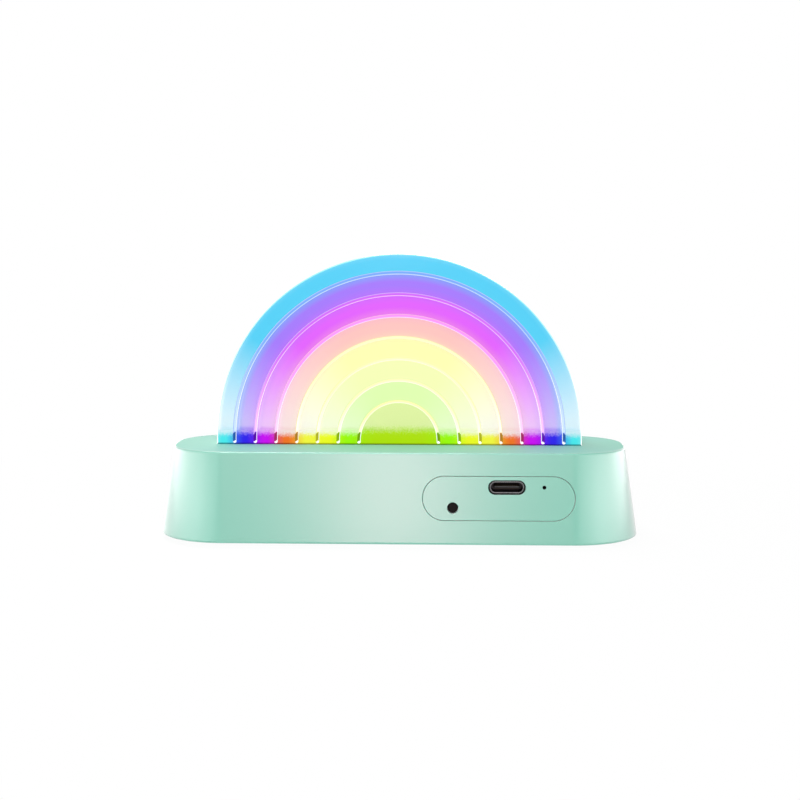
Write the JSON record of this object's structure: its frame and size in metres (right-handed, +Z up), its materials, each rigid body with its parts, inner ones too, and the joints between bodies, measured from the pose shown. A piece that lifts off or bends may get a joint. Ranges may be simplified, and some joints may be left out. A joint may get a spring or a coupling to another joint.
{
  "type": "rainbow lamp",
  "caption": "Small cordless night lamp: a slotted clear half-disc lit from below in rainbow bands, on a low drafted base with a USB-C port, push button and microphone hole.",
  "frame": {"origin": "under the middle of the base, on the surface that the lamp stands on", "axes": "+Z up, +X along the base's length, -Y out of the face with the charging port"},
  "size_m": [0.1278, 0.0428, 0.0761],
  "materials": {
    "mint_abs": "satin moulded ABS",
    "clear_acrylic": "polished clear acrylic, lit through its lower edge",
    "white_abs": "matt moulded",
    "white_laminate": "white solder mask on glass-fibre board",
    "green_laminate": "green solder mask on glass-fibre board",
    "led_resin": "white moulded lamp body",
    "screw_steel": "zinc plated",
    "port_steel": "drawn stainless",
    "black_nylon": "moulded",
    "button_plastic": "satin moulded",
    "contact_gilt": "gilt",
    "mic_aluminium": "drawn can",
    "black_rubber": "moulded",
    "foot_silicone": "matt",
    "chip_epoxy": "moulded",
    "capacitor_ceramic": "fired",
    "plug_nylon": "moulded",
    "red_insulation": "extruded",
    "black_insulation": "extruded",
    "white_insulation": "extruded",
    "cell_foil": "laminated foil",
    "foam_tape": "foam"
  },
  "bodies": {
    "lamp": {"base_housing": "mint_abs", "port_panel": "mint_abs", "bottom_cover": "mint_abs", "cover_screws": "screw_steel", "foot_pads": "foot_silicone", "rainbow_plate": "clear_acrylic", "light_frame": "white_abs", "led_board": "white_laminate", "leds": "led_resin", "frame_screws": "screw_steel", "main_board": "green_laminate", "board_screws": "screw_steel", "usb_shell": "port_steel", "usb_tongue": "black_nylon", "usb_contacts": "contact_gilt", "switch_body": "black_nylon", "switch_cover": "port_steel", "switch_dome": "port_steel", "microphone": "mic_aluminium", "mic_boot": "black_rubber", "controller_chip": "chip_epoxy", "charger_chip": "chip_epoxy", "board_capacitors": "capacitor_ceramic", "battery_socket": "plug_nylon", "battery_plug": "plug_nylon", "battery_lead_red": "red_insulation", "battery_lead_black": "black_insulation", "led_socket": "plug_nylon", "led_plug": "plug_nylon", "led_wires": "white_insulation", "battery": "cell_foil", "battery_tape": "foam_tape"},
    "button": {"push_button": "button_plastic"}
  },
  "joints": [
    {"name": "button_press", "type": "slide", "parent": "lamp", "child": "button", "axis": [0, 1, 0], "range_m": [0, 0.0003], "stiffness_N_per_m": 2500, "springref_m": -0.0003}
  ]
}
